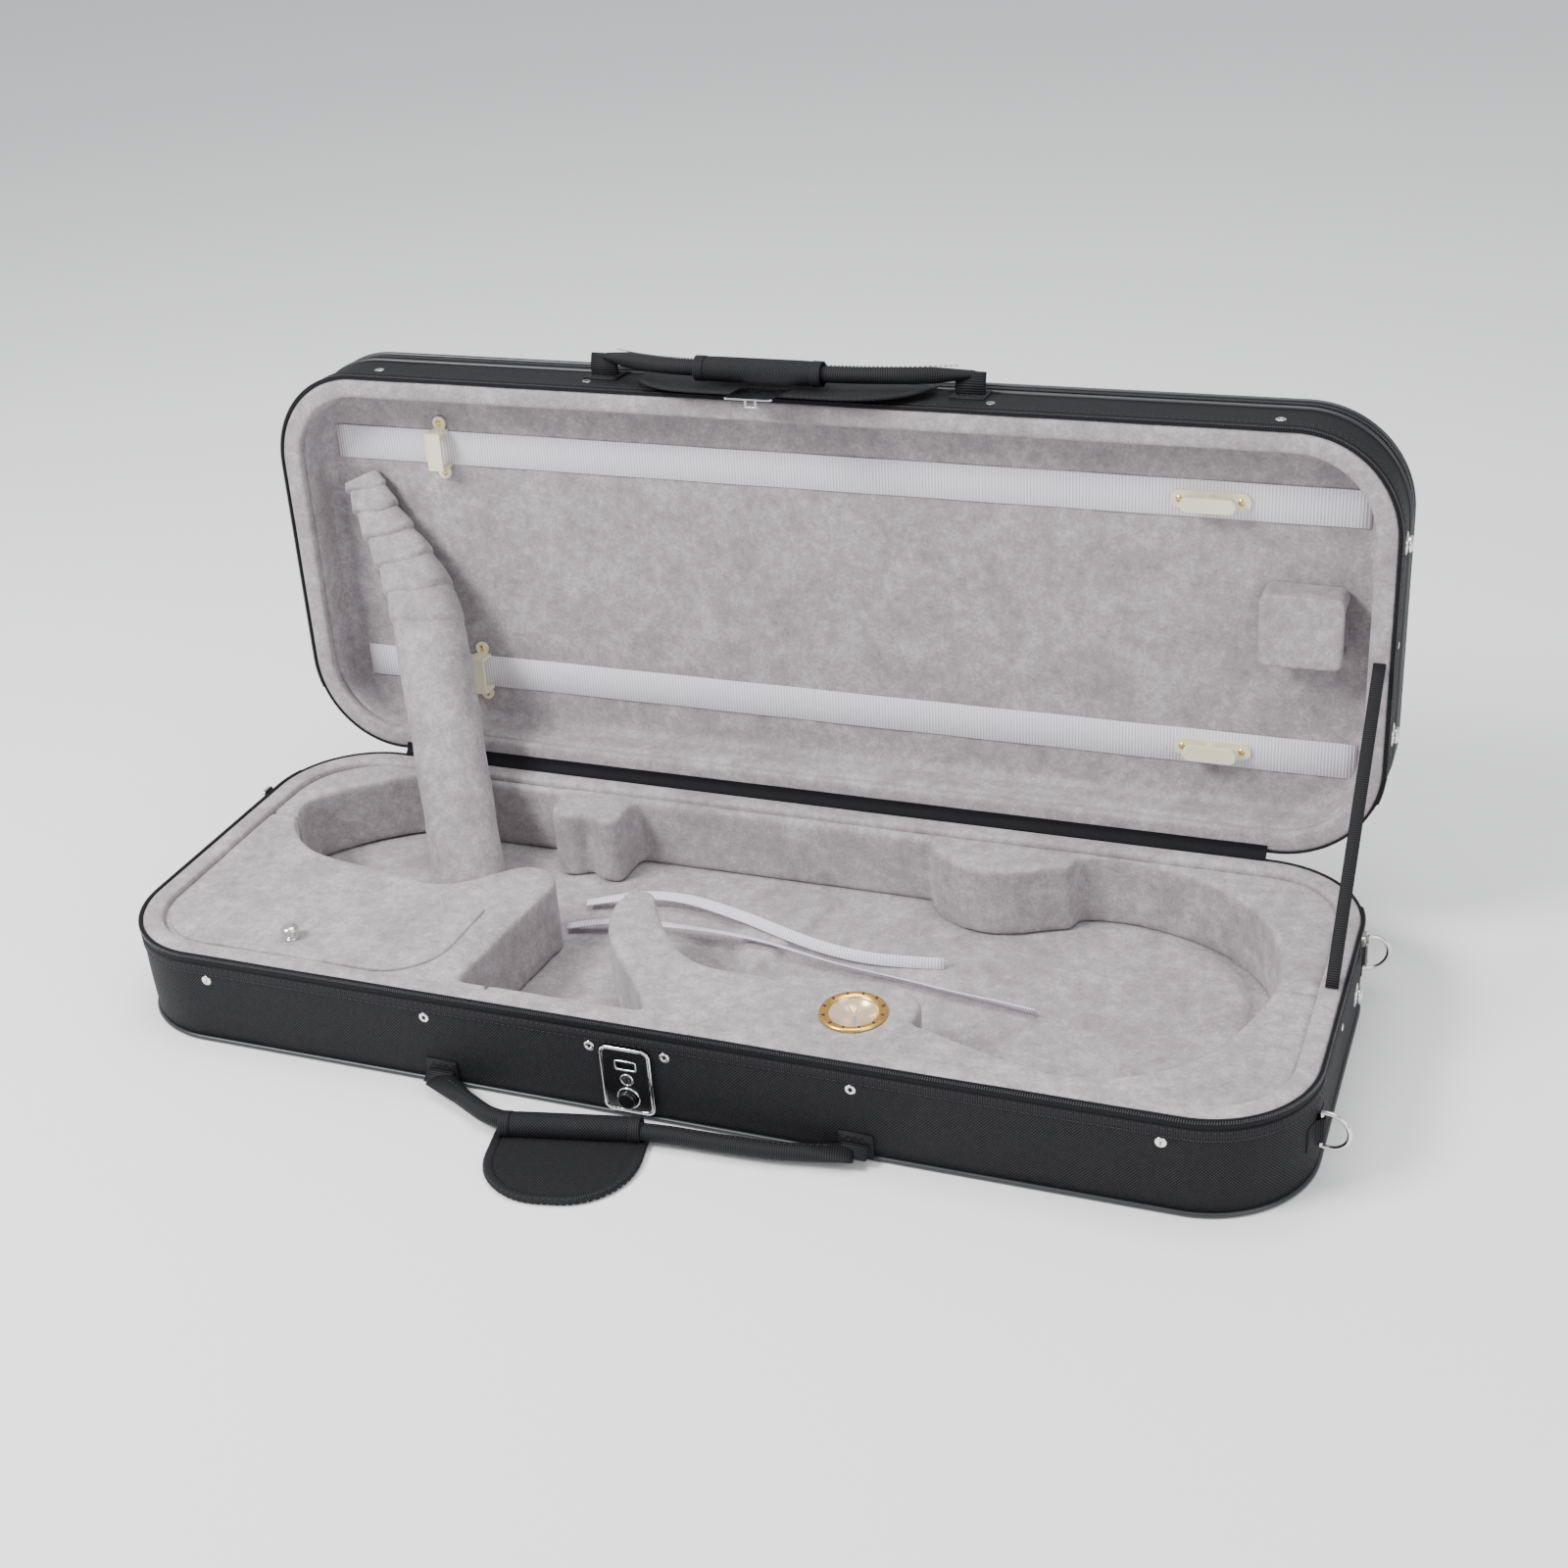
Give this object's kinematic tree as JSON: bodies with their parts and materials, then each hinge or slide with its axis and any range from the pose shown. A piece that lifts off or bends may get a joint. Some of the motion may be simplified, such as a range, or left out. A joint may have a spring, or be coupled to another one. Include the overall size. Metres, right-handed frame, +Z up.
{
  "type": "violin case",
  "caption": "Oblong violin case standing open: woven black shell, velvet suspension bed, zipped music pocket, bow holders, lock and handles.",
  "frame": {"origin": "centre of the base's bottom face, on the surface it stands on", "axes": "+X along the case towards its right end, -Y the front with the lock, +Y the hinge side, +Z up"},
  "size_m": [0.8268, 0.4707, 0.391],
  "materials": {
    "nylon": "black woven oxford nylon",
    "webbing": "black ribbed binding and webbing",
    "zip_tape": "black zip tape with coil teeth",
    "piping": "dark grey vinyl piping, soft gloss",
    "shell_board": "light ply and foam board",
    "foam": "velvet over foam",
    "velvet": "grey-lilac short-pile velvet",
    "ribbon": "pale grosgrain ribbon",
    "ivory": "ivory moulded plastic",
    "brass_screw": "small brass screws",
    "gilt": "polished gilt bezel",
    "dial": "champagne dial with printed graduations",
    "lens": "clear domed lens",
    "nickel": "bright nickel plating",
    "lock_metal": "black gloss enamel with bright edge",
    "black_chrome": "dark polished button"
  },
  "bodies": {
    "base": {"base_shell": "shell_board", "base_cover": "nylon", "base_bottom_piping": "piping", "base_rim_binding": "webbing", "base_zip": "zip_tape", "base_rim_pad": "velvet", "bed_floor": "foam", "compartment_box": "foam", "front_rail": "foam", "back_rail": "foam", "hygrometer_bezel": "gilt", "hygrometer_dial": "dial", "hygrometer_lens": "lens", "lock_plate": "lock_metal", "base_studs": "nickel", "ring_loops": "webbing", "base_hinge_leaves": "nickel", "tie_ribbon_short": "ribbon", "tie_ribbon_long": "ribbon", "strap_stay": "webbing", "velvet_stay": "velvet"},
    "compartment_lid": {"compartment_lid": "velvet", "compartment_knob": "nickel"},
    "base_handle": {"base_handle_strap": "webbing", "base_handle_grip": "nylon"},
    "key_cylinder": {"key_cylinder": "nickel"},
    "lock_button": {"lock_button": "black_chrome"},
    "d_ring_front": {"d_ring_front": "nickel"},
    "d_ring_back": {"d_ring_back": "nickel"},
    "main_slider_left": {"main_slider_left": "nickel"},
    "main_slider_right": {"main_slider_right": "nickel"},
    "main_pull_left": {"main_pull_left": "nickel"},
    "main_pull_right": {"main_pull_right": "nickel"},
    "lid": {"lid_shell": "shell_board", "lid_cover": "nylon", "lid_rim_binding": "webbing", "lid_zip": "zip_tape", "lid_rim_pad": "velvet", "lid_lining": "velvet", "bow_ribbons": "ribbon", "bow_clips": "ivory", "bow_screws": "brass_screw", "turner_plates": "ivory", "frog_pad": "velvet", "lid_piping": "piping", "pocket_zip": "zip_tape", "lid_studs": "nickel", "lid_hinge_leaves": "nickel"},
    "bow_turner_upper": {"bow_turner_upper": "ivory"},
    "bow_turner_lower": {"bow_turner_lower": "ivory"},
    "lid_handle": {"lid_handle_strap": "webbing", "lid_handle_grip": "nylon"},
    "lock_flap": {"lock_flap": "nylon", "hasp_plate": "nickel"},
    "pocket_cover": {"pocket_panel": "nylon"},
    "pocket_slider_left": {"pocket_slider_left": "nickel"},
    "pocket_slider_right": {"pocket_slider_right": "nickel"},
    "pocket_pull_left": {"pocket_pull_left": "nickel"},
    "pocket_pull_right": {"pocket_pull_right": "nickel"}
  },
  "joints": [
    {"name": "lid_hinge", "type": "hinge", "parent": "base", "child": "lid", "pos_m": [0, 0.1485, 0.07], "axis": [1, 0, 0], "range_deg": [0, 92], "deforming": ["velvet_stay", "strap_stay"]},
    {"name": "compartment_lid_hinge", "type": "hinge", "parent": "base", "child": "compartment_lid", "pos_m": [0, -0.039, 0.0664], "axis": [1, 0, 0], "range_deg": [-100, 0]},
    {"name": "base_handle_swing", "type": "hinge", "parent": "base", "child": "base_handle", "pos_m": [0, -0.1535, 0.009], "axis": [1, 0, 0], "range_deg": [-45, 0]},
    {"name": "key_turn", "type": "hinge", "parent": "base", "child": "key_cylinder", "pos_m": [-0.012, -0.149, 0.0305], "axis": [0, -1, 0], "range_deg": [0, 90]},
    {"name": "button_push", "type": "slide", "parent": "base", "child": "lock_button", "axis": [0, 1, 0], "range_m": [0, 0.0025], "stiffness_N_per_m": 400},
    {"name": "d_ring_front_swing", "type": "hinge", "parent": "base", "child": "d_ring_front", "pos_m": [0.40203, -0.08909, 0.034], "axis": [0, 0, 1], "range_deg": [-50, 50]},
    {"name": "d_ring_back_swing", "type": "hinge", "parent": "base", "child": "d_ring_back", "pos_m": [0.39862, 0.10225, 0.034], "axis": [0, 0, 1], "range_deg": [-50, 50]},
    {"name": "main_slider_left_run", "type": "slide", "parent": "base", "child": "main_slider_left", "axis": [0, 1, 0], "range_m": [-0.126, 0]},
    {"name": "main_slider_right_run", "type": "slide", "parent": "base", "child": "main_slider_right", "axis": [0, 1, 0], "range_m": [-0.126, 0]},
    {"name": "main_pull_left_swing", "type": "hinge", "parent": "main_slider_left", "child": "main_pull_left", "pos_m": [-0.4054, 0.066, 0.068], "axis": [0, 1, 0], "range_deg": [0, 120]},
    {"name": "main_pull_right_swing", "type": "hinge", "parent": "main_slider_right", "child": "main_pull_right", "pos_m": [0.4054, 0.066, 0.068], "axis": [0, -1, 0], "range_deg": [0, 120]},
    {"name": "bow_turner_upper_turn", "type": "hinge", "parent": "lid", "child": "bow_turner_upper", "pos_m": [0.277, 0.18269, 0.30395], "axis": [0, -0.9994, 0.0349], "range_deg": [-90, 90]},
    {"name": "bow_turner_lower_turn", "type": "hinge", "parent": "lid", "child": "bow_turner_lower", "pos_m": [0.283, 0.17654, 0.12806], "axis": [0, -0.9994, 0.0349], "range_deg": [-90, 90]},
    {"name": "lid_handle_swing", "type": "hinge", "parent": "lid", "child": "lid_handle", "pos_m": [0, 0.20319, 0.37528], "axis": [1, 0, 0], "range_deg": [-150, 0]},
    {"name": "lock_flap_lift", "type": "hinge", "parent": "lid", "child": "lock_flap", "pos_m": [0, 0.20033, 0.36517], "axis": [1, 0, 0], "range_deg": [-2.5, 5.5]},
    {"name": "pocket_cover_hinge", "type": "hinge", "parent": "lid", "child": "pocket_cover", "pos_m": [0, 0.20758, 0.06844], "axis": [1, 0, 0], "range_deg": [-75, 0]},
    {"name": "pocket_slider_left_run", "type": "slide", "parent": "lid", "child": "pocket_slider_left", "axis": [1, 0, 0], "range_m": [-0.22, 0]},
    {"name": "pocket_slider_right_run", "type": "slide", "parent": "lid", "child": "pocket_slider_right", "axis": [1, 0, 0], "range_m": [0, 0.22]},
    {"name": "pocket_pull_left_swing", "type": "hinge", "parent": "pocket_slider_left", "child": "pocket_pull_left", "pos_m": [-0.044, 0.21094, 0.3679], "axis": [1, 0, 0], "range_deg": [0, 120]},
    {"name": "pocket_pull_right_swing", "type": "hinge", "parent": "pocket_slider_right", "child": "pocket_pull_right", "pos_m": [-0.02, 0.21094, 0.3679], "axis": [1, 0, 0], "range_deg": [0, 120]}
  ]
}
